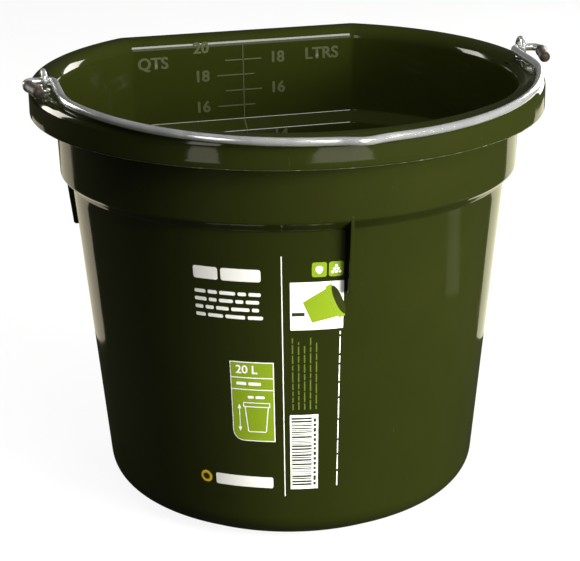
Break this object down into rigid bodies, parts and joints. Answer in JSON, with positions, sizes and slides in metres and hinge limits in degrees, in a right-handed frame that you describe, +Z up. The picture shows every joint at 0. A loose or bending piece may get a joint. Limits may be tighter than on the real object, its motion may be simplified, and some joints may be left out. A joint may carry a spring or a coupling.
{
  "type": "flat-back feed bucket",
  "caption": "Tapered plastic feed and water bucket, round in front and flat behind, with a stepped collar, a rolled rim and a wire bail hooked into eye bolts on the rim.",
  "frame": {"origin": "on the floor, under the middle of the whole bucket's box with the bail resting forward", "axes": "+Z up, +X across the bucket along the bail's pivot line, +Y towards the flat back that goes against a wall"},
  "size_m": [0.3838, 0.3552, 0.3263],
  "materials": {
    "olive_plastic": "glossy injection-moulded polypropylene, dark olive green",
    "zinc_steel": "bright zinc-plated steel wire and fittings",
    "cap_plastic": "dark brown moulded plastic"
  },
  "bodies": {
    "bucket": {"bucket_shell": "olive_plastic", "eye_bolt_left": "zinc_steel", "eye_bolt_right": "zinc_steel", "nut_washer_left": "zinc_steel", "nut_washer_right": "zinc_steel", "hex_nut_left": "zinc_steel", "hex_nut_right": "zinc_steel"},
    "bail": {"bail": "zinc_steel", "hook_cap_left": "cap_plastic", "hook_cap_right": "cap_plastic"}
  },
  "joints": [
    {"name": "bail_swing", "type": "hinge", "parent": "bucket", "child": "bail", "pos_m": [0, 0.00943, 0.31745], "axis": [-1, 0, 0], "range_deg": [0, 184]}
  ]
}
